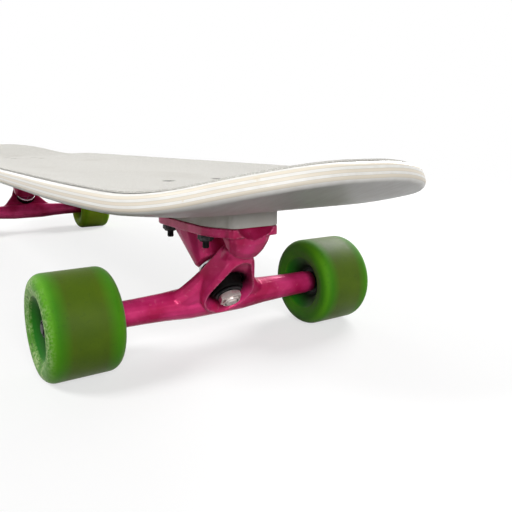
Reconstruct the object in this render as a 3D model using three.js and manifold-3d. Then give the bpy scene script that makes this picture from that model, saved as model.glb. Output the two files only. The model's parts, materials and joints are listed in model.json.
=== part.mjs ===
// Skateboard: kicked deck on two cast trucks with four wheels.
// Units are millimetres. +Z is up, X runs along the axles and the nose points along -Y.
// The origin lies on the ground, midway between the two axles.
import * as THREE from 'three';
import { mergeVertices } from 'three/addons/utils/BufferGeometryUtils.js';
import Module from 'manifold-3d';

const wasm = await Module();
wasm.setup();

const degree = Math.PI / 180;

// ---- Driving dimensions -------------------------------------------------------------------

// Whole board
const axleSpacing = 610;
const deckLength = 914;
const deckWidth = 228;
const deckThickness = 11;

// Deck shape
const kickStart = 66; // from the axle line to the start of the bend
const kickRadius = 150;
const kickAngle = 21 * degree;
const noseTaper = 168; // length of the rounded end, along the deck
const noseFullness = 2.35; // exponent of the end's superellipse
const noseTurns = [24, 43, 59, 73, 85]; // degrees around the rounded end
const flatShare = 0.45; // the flat's most, as a share of a narrow section
const flatHalfWidth = 42;
const concaveRise = 7;
const railChamfer = 2.2;
const gripThickness = 0.9;

// Wheels and bearings
const wheelDiameter = 69;
const wheelWidth = 48;
const lipRadius = 7.6;
const lipTurns = [90, 45, 5]; // degrees around the lip, from the face to the tread
const hubMouthRadius = 19.4;
const hubThroatRadius = 13;
const hubDepth = 12; // from a wheel face to its bearing
const bearingRadius = 11;
const bearingWidth = 7;
const shieldStep = 0.6;
const bearingRimWidth = 1.8;
const raceRadius = 6;
const spacerRadius = 5.2;
const coreBoreRadius = 8.6;

// Axle line
const axleRadius = 4;
const axleLength = 246;
const hangerWidth = 180;
const washerThickness = 0.7;
const speedWasherRadius = 5.9;
const axleNutAcross = 12.6;
const axleNutHeight = 6.4;

// Hanger, in the steering frame
const steerAngle = 40.4 * degree; // rise of the steering axis from the axle to the pivot
const armEndRadius = 8.4;
const armNeckRadius = 8.9;
const collarLength = 5;
const collarStep = 0.8;
const armShares = [0.66, 0.46, 0.24]; // of the hanger's half width
const armRadii = [9.3, 10, 11.6];
const kingpinReach = 20; // from the axle to the kingpin
const pivotReach = 57.3; // from the axle to the hanger's shoulder
const steerDrop = 8.5; // the steering axis passes this far above the axle
const dishRadius = 18.6;
const dishBaseReach = 21;
const dishTipRadius = 8.3;
const dishTipReach = 45;
const lipWidthAtBase = 2;
const lipWidthAtTip = 3.6;
const lipDrop = 3.6; // the lip slopes back by this much from its inner edge
const lipCrest = 0.4;
const backRound = 1.5;
const rimHeightAtBase = 13.6;
const rimHeightAtTip = 1.2;
const hangerBack = 8.2; // height of the boardside seat
const boardsideSeatMargin = 1.2;
const backHeight = -6.2; // the hanger's back at the axle
const backSlope = 0.2; // the hanger's back falls away towards the pivot
const seatFloor = -3.2;
const seatRadius = 14.8;
const seatDraft = 0.5;
const seatTipFrom = 28 * degree; // where the seat's points start to pair off with the tip's
const seatRimAtAxle = 2.6;
const seatRimAtPivot = -1.9;
const rimSteps = [[-1, -1.6], [0, 0.4], [1, 5]]; // the dish's edge: outwards, upwards
const ringBore = 7.4;
const neckFlatness = 0.7;
const neckStart = 37;
const neckSections = [[8, 0], [11.4, 4], [12.4, 9]]; // radius, distance from the neck's start
const neckShoulders = [[11.8, 3], [10.6, 0]]; // radius, distance from the pivot shoulder
const gussetTilt = 23 * degree;
const gussetHalfThickness = 6.8;
const gussetSquareness = 0.85;
const gussetReach = [38, 31, 25, 18, 8]; // its sections' centres, from the arm inwards
const gussetRise = [1.5, 5, 9.5, 14, 14];
const gussetLift = [0, 0, -1, -2.4, -2.4];
const gussetHalfLength = [7.6, 10, 13, 17.5, 17.5];
const pivotPinRadius = 4.4;
const pivotPinLength = 2.4;
const pivotPinRoot = 3; // length inside the neck
const pivotPinTurns = [0, 30, 60, 90]; // degrees around its ball end

// Kingpin stack, along the kingpin from the hanger's ring
const kingpinRadius = 4.76;
const kingpinHeadTop = -51.5;
const kingpinHeadHeight = 6;
const kingpinEnd = 14.2;
const kingpinHexAcross = 14.3;
const bushingRadius = 12;
const coneBushingTipRadius = 11.2;
const bushingWaist = 0.9;
const bushingTaper = 0.55; // where the middle stands between the two end radii
const bushingRound = 1;
const boardsideBushingHeight = 8.6;
const roadsideBushingHeight = 8.4;
const cupWasherRadius = 13.4;
const cupWasherDepth = 2.6;
const cupWasherWall = 1;
const coneWasherRadius = 9.6;
const stackWasherThickness = 1.5;
const washerRound = 0.5;
const kingpinNutHeight = 6.6;
const kingpinNutTurn = 14 * degree;

// Baseplate and what stands on it, above the axle
const plateUnderside = 53.5;
const plateThickness = 6;
const plateHalfWidth = 26.8;
const plateFrontHalfWidth = 18.8;
const plateFront = -55;
const plateRear = 41.5;
const plateFrontCorner = 5;
const plateRearCorner = 9;
const flareStart = { out: 0.6, back: 7 }; // the plate widens behind its front corners
const flareBend = { out: -2, back: 13 };
const flareEnd = 24;
const pivotFaceGap = 1; // from the hanger's shoulder to the pivot boss
const pivotBossHalfWidth = 12.6;
const pivotBossHalfDepth = 10;
const pivotBossEdge = 1.4;
const pivotBossShares = [0.08, 0.32, 0.64]; // levels between the boss's foot and its root
const bossBulge = 3;
const bossBulgeDrop = 0.4;
const bossRootMargin = 0.6;
const bossRootHalfDepth = 12.4;
const bossRootSquareness = 0.7;
const pivotCupWall = 1.5;
const kingpinBossHalfWidth = 17;
const kingpinBossHalfReach = 11.2;
const kingpinBossShift = 3;
const kingpinBossEdge = { inset: 0.8, depth: 1.5 };
const kingpinBossTopHalfWidth = 24.5;
const kingpinBossFront = -13;
const kingpinBossRearMargin = 6;
const kingpinBossSquareness = 0.82;
const nutPadMargin = 1;
const nutPadDepth = 22;
const scoopRadius = 17;
const scoopLift = 8;
const scoopShift = 4;
const riserThickness = 12.7;

// Deck bolts
const boltSpanX = 41.3;
const boltSpanY = 53.9;
const boltPatternShift = 1.35; // pattern centre, inboard of the axle line
const boltRadius = 2.4;
const boltHeadRadius = 4.8;
const boltHeadDepth = 2.8;
const boltHeadEdge = 0.4;
const boltTail = 4.6;
const boltTip = 0.6;
const lockNutAcross = 9.6;
const lockNutHeight = 4.6;

// Clearances
const seatGap = 0.3;
const faceGap = 0.15;
const shaftGap = 0.25;

// How far a cutter runs past what it cuts
const overrun = 5;
const throughCut = 120;

// Facets around a full turn
const wheelTurn = 22;
const mediumTurn = 16;
const coarseTurn = 12;
const innerTurn = 10;
const boltTurn = 8;
const bossTurn = 16; // a multiple of 4
const gussetTurn = 12;
const tipCount = 6; // points on a teardrop's tip
const baseCount = 18; // points on its base
const facetTolerance = 0.06; // mm that the simplifier may move a facet

// ---- Derived sizes --------------------------------------------------------------------------

const wheelRadius = wheelDiameter / 2;
const axleHeight = wheelRadius;
const plateTop = plateUnderside + plateThickness;
const deckUnderside = plateTop + riserThickness + 2 * seatGap;
const deckTop = deckUnderside + deckThickness;
const bearingStart = hangerWidth / 2 + washerThickness + 2 * faceGap;
const wheelCentre = bearingStart + wheelWidth / 2 - hubDepth;
const bearingEnd = 2 * wheelCentre - bearingStart;
const kingpinBossFace = -(hangerBack + boardsideBushingHeight + stackWasherThickness + 4 * faceGap);

// ---- Materials ------------------------------------------------------------------------------

function finish(color, roughness, metalness) {
  return new THREE.MeshStandardMaterial({ color, roughness, metalness });
}

const pinkPaint = finish(0xb63c66, 0.38, 0.35);
const whiteLacquer = finish(0xf1efea, 0.35, 0);
const clearGrit = finish(0xe6e4df, 0.95, 0);
const whiteRubber = finish(0xe9e7e2, 0.7, 0);
const greenUrethane = finish(0x3c7614, 0.55, 0);
const limeUrethane = finish(0xb1dc19, 0.5, 0);
const blackUrethane = finish(0x0b0909, 0.6, 0);
const zincSteel = finish(0xb9b4b0, 0.3, 1);
const blackSteel = finish(0x1c1b1d, 0.45, 0.8);
const shieldBlack = finish(0x22261f, 0.5, 0.3);
const brightSteel = finish(0xc9cacb, 0.22, 1);

// ---- Solid tools ----------------------------------------------------------------------------

// Six times the volume that a closed, indexed geometry encloses, negative if it is inside out.
function signedVolume(geometry) {
  const { position } = geometry.attributes;
  const corners = [new THREE.Vector3(), new THREE.Vector3(), new THREE.Vector3()];
  let total = 0;
  for (let i = 0; i < geometry.index.count; i += 3) {
    corners.forEach((corner, k) => corner.fromBufferAttribute(position, geometry.index.getX(i + k)));
    total += corners[0].dot(corners[1].clone().cross(corners[2]));
  }
  return total;
}

// Merges a geometry's shared corners and turns its faces outwards.
function closedShell(geometry) {
  const bare = geometry.clone();
  bare.deleteAttribute('normal');
  bare.deleteAttribute('uv');
  const merged = mergeVertices(bare, 1e-4);
  if (signedVolume(merged) < 0) merged.index.array.reverse();
  return merged;
}

function solidOf(geometry) {
  const merged = closedShell(geometry);
  const vertProperties = new Float32Array(merged.attributes.position.array);
  const triVerts = new Uint32Array(merged.index.array);
  return new wasm.Manifold(new wasm.Mesh({ numProp: 3, vertProperties, triVerts }));
}

function geometryOf(solid) {
  const mesh = solid.getMesh();
  const geometry = new THREE.BufferGeometry();
  geometry.setAttribute('position', new THREE.BufferAttribute(new Float32Array(mesh.vertProperties), 3));
  geometry.setIndex(new THREE.BufferAttribute(new Uint32Array(mesh.triVerts), 1));
  geometry.computeVertexNormals();
  return geometry;
}

// Joins the first list of geometries, cuts the second list out of them and drops sliver facets.
function carve(bodies, cutters = []) {
  let solid = solidOf(bodies[0]);
  for (const body of bodies.slice(1)) solid = solid.add(solidOf(body));
  for (const cutter of cutters) solid = solid.subtract(solidOf(cutter));
  return geometryOf(solid.asOriginal().simplify(facetTolerance));
}

// Skins a stack of rings that all have the same number of points, and closes both ends. Each
// quad splits along its shorter diagonal, so layers that lie on each other split alike.
function loft(rings) {
  const count = rings[0].length;
  const points = rings.flat();
  const index = [];
  for (let level = 0; level + 1 < rings.length; level++) {
    for (let i = 0; i < count; i++) {
      const a = level * count + i;
      const b = level * count + ((i + 1) % count);
      const forward = points[a].distanceTo(points[b + count]);
      const backward = points[b].distanceTo(points[a + count]);
      if (forward <= backward) index.push(a, b, b + count, a, b + count, a + count);
      else index.push(a, b, a + count, b, b + count, a + count);
    }
  }
  for (const level of [0, rings.length - 1]) {
    const centre = rings[level].reduce((sum, p) => sum.add(p), new THREE.Vector3()).divideScalar(count);
    const hub = points.push(centre) - 1;
    for (let i = 0; i < count; i++) {
      const a = level * count + i;
      const b = level * count + ((i + 1) % count);
      if (level === 0) index.push(hub, b, a);
      else index.push(hub, a, b);
    }
  }
  const geometry = new THREE.BufferGeometry().setFromPoints(points);
  geometry.setIndex(index);
  geometry.computeVertexNormals();
  return geometry;
}

// Revolves [radius, height] pairs about Y. The profile runs anticlockwise and closes on itself.
function ringTurn(profile, turn) {
  const points = [...profile, profile[0]].map(([radius, height]) => new THREE.Vector2(radius, height));
  return new THREE.LatheGeometry(points, turn);
}

function rod(radius, length, turn) {
  return new THREE.CylinderGeometry(radius, radius, length, turn);
}

// A flat ring from one height to another about Y.
function washerRing(inner, outer, low, high, turn) {
  return ringTurn([[inner, low], [outer, low], [outer, high], [inner, high]], turn);
}

// A hexagonal nut about Z, standing on z = 0, with a round bore.
function hexNut(across, height, bore, turn) {
  const corner = across / Math.sqrt(3);
  const outline = new THREE.Shape();
  for (let i = 0; i < 6; i++) {
    const angle = i * 60 * degree;
    if (i === 0) outline.moveTo(corner, 0);
    else outline.lineTo(corner * Math.cos(angle), corner * Math.sin(angle));
  }
  if (bore > 0) outline.holes.push(new THREE.Path().absarc(0, 0, bore, 0, 2 * Math.PI, true));
  return new THREE.ExtrudeGeometry(outline, { depth: height, bevelEnabled: false, curveSegments: turn });
}

const board = new THREE.Group();

function addPiece(group, name, geometry, material) {
  const shell = closedShell(geometry);
  shell.computeVertexNormals();
  const mesh = new THREE.Mesh(shell, material);
  mesh.name = name;
  group.add(mesh);
  return mesh;
}

// ---- Deck -----------------------------------------------------------------------------------

// Height, slope and concave of the deck's top at one station along the board.
function deckStation(y) {
  const run = Math.abs(y) - (axleSpacing / 2 + kickStart);
  const bendRun = kickRadius * Math.sin(kickAngle);
  if (run <= 0) return { rise: 0, slope: 0 };
  if (run < bendRun) {
    const slope = Math.asin(run / kickRadius);
    return { rise: kickRadius * (1 - Math.cos(slope)), slope };
  }
  const rise = kickRadius * (1 - Math.cos(kickAngle)) + (run - bendRun) * Math.tan(kickAngle);
  return { rise, slope: kickAngle };
}

// Half the deck's length and half its width around the outline, from amidships to the tip.
function deckOutline() {
  const topHalfLength = deckLength / 2 - deckThickness * Math.sin(kickAngle);
  const taperStart = topHalfLength - noseTaper;
  const bendStart = axleSpacing / 2 + kickStart;
  const bendRun = kickRadius * Math.sin(kickAngle);
  const lastTurn = noseTurns.at(-1) * degree;
  const widthAt = (y) => {
    const t = Math.max(0, (y - taperStart) / noseTaper) * Math.sin(lastTurn) ** (2 / noseFullness);
    return (deckWidth / 2) * (1 - t ** noseFullness) ** (1 / noseFullness);
  };
  const stations = new Set([0, taperStart]);
  for (const share of [0, 0.5, 1]) {
    const station = bendStart + bendRun * share;
    if (station < topHalfLength) stations.add(station);
  }
  for (const turn of noseTurns) {
    const reach = (Math.sin(turn * degree) / Math.sin(lastTurn)) ** (2 / noseFullness);
    stations.add(taperStart + noseTaper * reach);
  }
  return [...stations].sort((a, b) => a - b).map((y) => ({ y, halfWidth: widthAt(y) }));
}

function concaveAt(x) {
  const reach = Math.max(0, Math.abs(x) - flatHalfWidth) / (deckWidth / 2 - flatHalfWidth);
  return concaveRise * reach ** 2;
}

// One closed section of a layer of the deck, between two depths below the deck's top.
function deckSection(y, halfWidth, topDepth, bottomDepth, chamfer) {
  const { rise, slope } = deckStation(y);
  const side = Math.sign(y);
  const edge = halfWidth - chamfer;
  const flat = Math.min(flatHalfWidth, edge * flatShare);
  const middle = (flat + edge) / 2;
  const topXs = [-edge, -middle, -flat, flat, middle, edge];
  const place = (x, depth) => new THREE.Vector3(
    x,
    y + side * depth * Math.sin(slope),
    axleHeight + deckTop + rise + concaveAt(x) - depth * Math.cos(slope),
  );
  const ring = topXs.map((x) => place(x, topDepth));
  if (chamfer > 0) ring.push(place(halfWidth, topDepth + chamfer), place(halfWidth, bottomDepth - chamfer));
  ring.push(...topXs.toReversed().map((x) => place(x, bottomDepth)));
  if (chamfer > 0) ring.push(place(-halfWidth, bottomDepth - chamfer), place(-halfWidth, topDepth + chamfer));
  return ring;
}

function deckLayer(topDepth, bottomDepth, inset, chamfer) {
  const half = deckOutline();
  const stations = [...half.slice(1).reverse().map(({ y, halfWidth }) => ({ y: -y, halfWidth })), ...half];
  return loft(stations.map(
    ({ y, halfWidth }) => deckSection(y, halfWidth - inset, topDepth, bottomDepth, chamfer),
  ));
}

// The four bolt places of a truck, on the board.
function boltPlaces(axleSide) {
  const centreY = axleSide * (axleSpacing / 2 - boltPatternShift);
  const places = [];
  for (const outboard of [1, -1]) {
    for (const right of [-1, 1]) {
      const x = right * boltSpanX / 2;
      places.push({ x, y: centreY + axleSide * outboard * boltSpanY / 2, outboard, right });
    }
  }
  return places;
}

function uprightRod(x, y, low, high, radius) {
  return rod(radius, high - low, boltTurn).rotateX(Math.PI / 2).translate(x, y, (low + high) / 2);
}

function addDeck() {
  const top = axleHeight + deckTop;
  const holes = [];
  const gripHoles = [];
  for (const axleSide of [-1, 1]) {
    for (const { x, y } of boltPlaces(axleSide)) {
      const sink = new THREE.CylinderGeometry(
        boltHeadRadius + seatGap, boltRadius + seatGap, boltHeadDepth, boltTurn,
      );
      sink.rotateX(Math.PI / 2).translate(x, y, top + seatGap - boltHeadDepth / 2);
      holes.push(uprightRod(x, y, top - 2 * deckThickness, top + overrun, boltRadius + seatGap), sink);
      gripHoles.push(uprightRod(x, y, top - overrun, top + overrun, boltHeadRadius + 2 * seatGap));
    }
  }
  addPiece(board, 'deck', carve([deckLayer(0, deckThickness, 0, railChamfer)], holes), whiteLacquer);
  const gripTop = -gripThickness - 2 * faceGap;
  const grip = carve([deckLayer(gripTop, -2 * faceGap, railChamfer, 0)], gripHoles);
  addPiece(board, 'grip_sheet', grip, clearGrit);
}

// ---- Truck pieces ---------------------------------------------------------------------------
// In the steering frame x runs along the axle, y rises from the axle to the pivot, and z runs
// down the kingpin from the board to its nut. The axle's centre is the frame's origin.

// Two circles on the y axis and their common tangents, as one outline at a height for each y.
function teardrop(baseRadius, baseY, tipRadius, tipY, heightAt) {
  const tilt = Math.asin((baseRadius - tipRadius) / (tipY - baseY));
  const points = [];
  const arc = (radius, centreY, from, to, steps) => {
    for (let i = 0; i <= steps; i++) {
      const angle = from + ((to - from) * i) / steps;
      const y = centreY + radius * Math.sin(angle);
      points.push(new THREE.Vector3(radius * Math.cos(angle), y, heightAt(y)));
    }
  };
  arc(tipRadius, tipY, tilt, Math.PI - tilt, tipCount - 1);
  arc(baseRadius, baseY, Math.PI - tilt, 2 * Math.PI + tilt, baseCount - 1);
  return points;
}

// A circle whose points pair off with those of a teardrop.
function seatCircle(radius, heightAt) {
  const joinShare = 0.6; // of a base step, between the tip's points and the base's
  const tipStep = (Math.PI - 2 * seatTipFrom) / (tipCount - 1);
  const baseStep = (Math.PI + 2 * seatTipFrom) / (baseCount - 1 + 2 * joinShare);
  const points = [];
  for (let i = 0; i < tipCount + baseCount; i++) {
    const beyondTip = i - tipCount + joinShare;
    const angle = i < tipCount ? seatTipFrom + i * tipStep : Math.PI - seatTipFrom + beyondTip * baseStep;
    const y = kingpinReach + radius * Math.sin(angle);
    points.push(new THREE.Vector3(radius * Math.cos(angle), y, heightAt(y)));
  }
  return points;
}

// Height of the dish's sloping rim.
function rimHeight(y) {
  const tipEnd = dishTipReach + dishTipRadius;
  return rimHeightAtBase + ((rimHeightAtTip - rimHeightAtBase) * y) / tipEnd;
}

function hangerArms() {
  const half = hangerWidth / 2;
  const steps = [
    [armEndRadius, half],
    [armEndRadius, half - collarLength],
    [armNeckRadius, half - collarLength - collarStep],
    ...armShares.map((share, i) => [armRadii[i], half * share]),
  ];
  const profile = [[0, half], ...steps, ...steps.toReversed().map(([r, x]) => [r, -x]), [0, -half]];
  const points = profile.toReversed().map(([r, x]) => new THREE.Vector2(r, x));
  return new THREE.LatheGeometry(points, mediumTurn).rotateZ(Math.PI / 2);
}

// One side's gusset: a leaning web that swells from the arm to the hanger's body. Each section
// is an ellipse with its centre and half length in the plane across the axle.
function gusset(side) {
  const lean = new THREE.Vector2(Math.cos(gussetTilt), -Math.sin(gussetTilt));
  return loft(gussetReach.map((reach, i) => ellipse(gussetTurn, (c, s) => {
    const along = gussetHalfLength[i] * squarer(c, gussetSquareness);
    const across = gussetHalfThickness * squarer(s, gussetSquareness);
    const section = new THREE.Vector3(0, along * lean.x - across * lean.y, along * lean.y + across * lean.x);
    return section.add(new THREE.Vector3(side * reach, gussetRise[i], gussetLift[i]));
  })));
}

// The ball end of the pivot pin, or of the cup around it, as [radius, reach] pairs.
function ballEnd(radius) {
  return pivotPinTurns.map((turn) => {
    const reach = pivotReach + pivotPinLength + radius * Math.sin(turn * degree);
    return [turn < 90 ? radius * Math.cos(turn * degree) : 0, reach];
  });
}

function hangerGeometry() {
  // Outlines of the cast body, from its back to the inner edge of the lip around the dish.
  const level = (lipAtBase, lipAtTip, height) => teardrop(
    dishRadius + lipAtBase, dishBaseReach, dishTipRadius + lipAtTip, dishTipReach, height,
  );
  const body = loft([
    level(lipWidthAtBase - backRound, lipWidthAtTip - backRound, (y) => backHeight - backSlope * y),
    level(lipWidthAtBase, lipWidthAtTip, (y) => backHeight + backRound - backSlope * y),
    level(lipWidthAtBase, lipWidthAtTip, (y) => rimHeight(y) - lipDrop),
    level(lipCrest, lipCrest, rimHeight),
  ]);
  const neck = new THREE.LatheGeometry([
    [0, neckStart],
    ...neckSections.map(([radius, past]) => [radius, neckStart + past]),
    ...neckShoulders.map(([radius, short]) => [radius, pivotReach - short]),
    [0, pivotReach],
  ].map(([r, y]) => new THREE.Vector2(r, y)), mediumTurn);
  neck.scale(1, 1, neckFlatness).translate(0, 0, -steerDrop);
  const pinProfile = [
    [0, pivotReach - pivotPinRoot], [pivotPinRadius, pivotReach - pivotPinRoot], ...ballEnd(pivotPinRadius),
  ];
  const pin = new THREE.LatheGeometry(pinProfile.map(([r, y]) => new THREE.Vector2(r, y)), coarseTurn);
  pin.translate(0, 0, -steerDrop);

  const boardsideSeat = rod(bushingRadius + boardsideSeatMargin, throughCut, mediumTurn).rotateX(Math.PI / 2);
  boardsideSeat.translate(0, kingpinReach, -hangerBack - throughCut / 2);
  const seatSlope = (seatRimAtPivot - seatRimAtAxle) / (2 * seatRadius);
  const seatRim = (y) => seatRimAtAxle + (y - kingpinReach + seatRadius) * seatSlope;
  const dish = loft([
    seatCircle(seatRadius - seatDraft, () => seatFloor),
    seatCircle(seatRadius, seatRim),
    ...rimSteps.map(([grow, lift]) => level(grow, grow, (y) => rimHeight(y) + lift)),
  ]);
  const ringHole = rod(ringBore, throughCut, mediumTurn).rotateX(Math.PI / 2).translate(0, kingpinReach, 0);
  const axleBore = rod(axleRadius + seatGap, hangerWidth + 2 * overrun, coarseTurn).rotateZ(Math.PI / 2);
  return carve(
    [body, hangerArms(), gusset(-1), gusset(1), neck, pin],
    [boardsideSeat, dish, ringHole, axleBore],
  );
}

// A point of the steering frame, in the truck's upright frame.
function fromSteering(x, y, z) {
  const c = Math.cos(steerAngle);
  const s = Math.sin(steerAngle);
  return new THREE.Vector3(x, -y * c - z * s, y * s - z * c);
}

function ellipse(count, placeAt) {
  return Array.from({ length: count }, (_, i) => {
    const angle = (2 * Math.PI * i) / count;
    return placeAt(Math.cos(angle), Math.sin(angle));
  });
}

function squarer(value, power) {
  return Math.sign(value) * Math.abs(value) ** power;
}

function plateOutline() {
  const w = plateHalfWidth;
  const f = plateFrontHalfWidth;
  const front = plateFront;
  const rear = plateRear;
  const outline = new THREE.Shape();
  outline.moveTo(-f + plateFrontCorner, front);
  outline.lineTo(f - plateFrontCorner, front);
  outline.quadraticCurveTo(f, front, f + flareStart.out, front + flareStart.back);
  outline.quadraticCurveTo(w + flareBend.out, front + flareBend.back, w, front + flareEnd);
  outline.lineTo(w, rear - plateRearCorner);
  outline.quadraticCurveTo(w, rear, w - plateRearCorner, rear);
  outline.lineTo(-w + plateRearCorner, rear);
  outline.quadraticCurveTo(-w, rear, -w, rear - plateRearCorner);
  outline.lineTo(-w, front + flareEnd);
  outline.quadraticCurveTo(
    -w - flareBend.out, front + flareBend.back, -f - flareStart.out, front + flareStart.back,
  );
  outline.quadraticCurveTo(-f, front, -f + plateFrontCorner, front);
  return outline;
}

function plateSlab(low, high) {
  const slab = new THREE.ExtrudeGeometry(plateOutline(), {
    depth: high - low, bevelEnabled: false, curveSegments: 3,
  });
  return slab.translate(0, 0, low);
}

function truckBoltRods(low, high, radius = boltRadius + seatGap) {
  const rods = [];
  for (const x of [-boltSpanX / 2, boltSpanX / 2]) {
    for (const y of [-boltSpanY / 2, boltSpanY / 2]) {
      rods.push(uprightRod(x, y + boltPatternShift, low, high, radius));
    }
  }
  return rods;
}

function alongKingpin(geometry, height) {
  // Stands a shape turned about Y on the kingpin, then tips it into the upright frame.
  const placed = geometry.clone().rotateX(Math.PI / 2).translate(0, kingpinReach, height);
  return placed.rotateX(Math.PI - steerAngle);
}

function alongPivot(geometry, reach) {
  return geometry.clone().translate(0, reach, -steerDrop).rotateX(Math.PI - steerAngle);
}

function baseplateGeometry() {
  const rootLevel = plateUnderside + plateThickness / 2;
  const bossFace = pivotReach + pivotFaceGap;
  const bossFoot = (shrink) => ellipse(bossTurn, (c, s) => fromSteering(
    (pivotBossHalfWidth - shrink) * c, bossFace, -steerDrop + (pivotBossHalfDepth - shrink) * s,
  ));
  const bossRoot = ellipse(bossTurn, (c, s) => new THREE.Vector3(
    (plateFrontHalfWidth - bossRootMargin) * squarer(c, bossRootSquareness),
    plateFront + bossRootMargin + bossRootHalfDepth * (1 - squarer(s, bossRootSquareness)),
    rootLevel,
  ));
  const bossLevel = (share) => bossFoot(0).map((foot, i) => {
    const bulge = bossBulge * Math.sin(Math.PI * share) * Math.max(0, Math.sin((2 * Math.PI * i) / bossTurn));
    return foot.lerp(bossRoot[i], share).add(new THREE.Vector3(0, -bulge, -bulge * bossBulgeDrop));
  });
  const pivotBoss = loft([bossFoot(pivotBossEdge), ...pivotBossShares.map(bossLevel), bossRoot]);
  const kingpinBossRear = plateRear - kingpinBossRearMargin;
  const kingpinFoot = (inset, height) => ellipse(bossTurn, (c, s) => fromSteering(
    (kingpinBossHalfWidth - inset) * squarer(c, kingpinBossSquareness),
    kingpinReach + kingpinBossShift + (kingpinBossHalfReach - inset) * squarer(s, kingpinBossSquareness),
    height,
  ));
  const kingpinRoot = ellipse(bossTurn, (c, s) => new THREE.Vector3(
    kingpinBossTopHalfWidth * squarer(c, kingpinBossSquareness),
    (kingpinBossRear + kingpinBossFront) / 2
      - ((kingpinBossRear - kingpinBossFront) / 2) * squarer(s, kingpinBossSquareness),
    rootLevel,
  ));
  const kingpinBoss = loft([
    kingpinFoot(kingpinBossEdge.inset, kingpinBossFace),
    kingpinFoot(0, kingpinBossFace - kingpinBossEdge.depth),
    kingpinRoot,
  ]);
  const plate = plateSlab(plateUnderside, plateTop);
  const scoop = new THREE.SphereGeometry(scoopRadius, mediumTurn, mediumTurn / 2);
  scoop.translate(0, plateFront - scoopShift, plateTop + scoopLift);
  const kingpinBore = alongKingpin(rod(kingpinRadius + seatGap, throughCut, coarseTurn), kingpinHeadTop);
  const headPocket = alongKingpin(
    rod(kingpinHexAcross / Math.sqrt(3) + 2 * seatGap, throughCut, coarseTurn),
    kingpinHeadTop + kingpinHeadHeight + seatGap - throughCut / 2,
  );
  const cupOuter = pivotPinRadius + seatGap + pivotCupWall + seatGap;
  const cupDepth = pivotPinLength + pivotPinRadius + pivotCupWall + 2 * seatGap;
  const cupBore = alongPivot(
    rod(cupOuter, cupDepth + overrun, coarseTurn),
    bossFace + (cupDepth - overrun) / 2,
  );
  const boltHoles = truckBoltRods(plateUnderside - overrun, plateTop + overrun);
  const nutPadRadius = lockNutAcross / Math.sqrt(3) + nutPadMargin;
  const nutPads = truckBoltRods(plateUnderside - nutPadDepth, plateUnderside, nutPadRadius);
  return carve(
    [plate, pivotBoss, kingpinBoss],
    [...nutPads, scoop, kingpinBore, headPocket, cupBore, ...boltHoles],
  );
}

// A cup of urethane that lines the pivot bore, turned about the steering axis.
function pivotCupGeometry() {
  const inner = pivotPinRadius + seatGap;
  const outer = inner + pivotCupWall;
  const mouth = pivotReach + pivotFaceGap + faceGap;
  const top = pivotReach + pivotPinLength + inner + pivotCupWall;
  const profile = [
    ...ballEnd(inner).toReversed(), [inner, mouth], [outer, mouth],
    [outer, top - pivotCupWall], [outer - pivotCupWall, top], [0, top],
  ];
  const points = profile.map(([r, y]) => new THREE.Vector2(r, y));
  return new THREE.LatheGeometry(points, coarseTurn).translate(0, 0, -steerDrop);
}

function kingpinGeometry() {
  const headBottom = kingpinHeadTop + kingpinHeadHeight;
  const shank = rod(kingpinRadius, kingpinEnd - headBottom + 1, coarseTurn);
  shank.rotateX(Math.PI / 2).translate(0, 0, (kingpinEnd + headBottom - 1) / 2);
  const head = hexNut(kingpinHexAcross, kingpinHeadHeight, 0, boltTurn).translate(0, 0, kingpinHeadTop);
  return carve([shank, head]).translate(0, kingpinReach, 0);
}

// A bushing turned about the kingpin, from its board end to its road end.
function bushingGeometry(boardRadius, roadRadius, start, height) {
  const inner = kingpinRadius + shaftGap;
  const middle = roadRadius + (boardRadius - roadRadius) * bushingTaper - bushingWaist;
  const profile = [
    [inner, 0], [boardRadius - bushingRound, 0], [boardRadius, bushingRound], [middle, height / 2],
    [roadRadius, height - bushingRound], [roadRadius - bushingRound, height], [inner, height],
  ];
  const ring = ringTurn(profile, mediumTurn).rotateX(Math.PI / 2);
  return ring.translate(0, kingpinReach, start);
}

// A washer with its rim turned up around the bushing's end, as deep as its rim is high.
function stackWasher(radius, start, depth) {
  const inner = kingpinRadius + shaftGap;
  const profile = [[inner, 0], [radius - washerRound, 0], [radius, washerRound], [radius, depth]];
  if (depth > stackWasherThickness) {
    profile.push([radius - cupWasherWall, depth], [radius - cupWasherWall, stackWasherThickness]);
  }
  profile.push([inner, stackWasherThickness]);
  return ringTurn(profile, coarseTurn).rotateX(Math.PI / 2).translate(0, kingpinReach, start);
}

function stackNut(start) {
  const nut = hexNut(kingpinHexAcross, kingpinNutHeight, kingpinRadius + shaftGap, coarseTurn / 2);
  return nut.rotateZ(kingpinNutTurn).translate(0, kingpinReach, start);
}

// ---- Wheel pieces, turned about the axle ------------------------------------------------------

const ontoAxle = (geometry, x) => geometry.rotateZ(-Math.PI / 2).translate(x, 0, 0);

function wheelGeometry() {
  const half = wheelWidth / 2;
  const shoulder = half - hubDepth - bearingWidth - faceGap;
  const seat = bearingRadius + shaftGap;
  const side = [];
  side.push([coreBoreRadius, shoulder], [seat, shoulder], [seat, half - hubDepth]);
  side.push([hubThroatRadius, half - hubDepth], [hubMouthRadius, half]);
  for (const turn of lipTurns) {
    const angle = turn * degree;
    side.push([wheelRadius - lipRadius * (1 - Math.cos(angle)), half - lipRadius * (1 - Math.sin(angle))]);
  }
  const lower = side.map(([r, y]) => [r, -y]);
  return ringTurn([...lower, ...side.toReversed()], wheelTurn);
}

function bearingGeometry() {
  const inner = raceRadius + seatGap + faceGap;
  const outer = bearingRadius;
  const rim = bearingRadius - bearingRimWidth;
  const half = bearingWidth / 2 - faceGap / 2;
  const profile = [
    [inner, -half + shieldStep], [rim, -half], [outer, -half],
    [outer, half], [rim, half], [inner, half - shieldStep],
  ];
  return ringTurn(profile, innerTurn);
}

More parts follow.
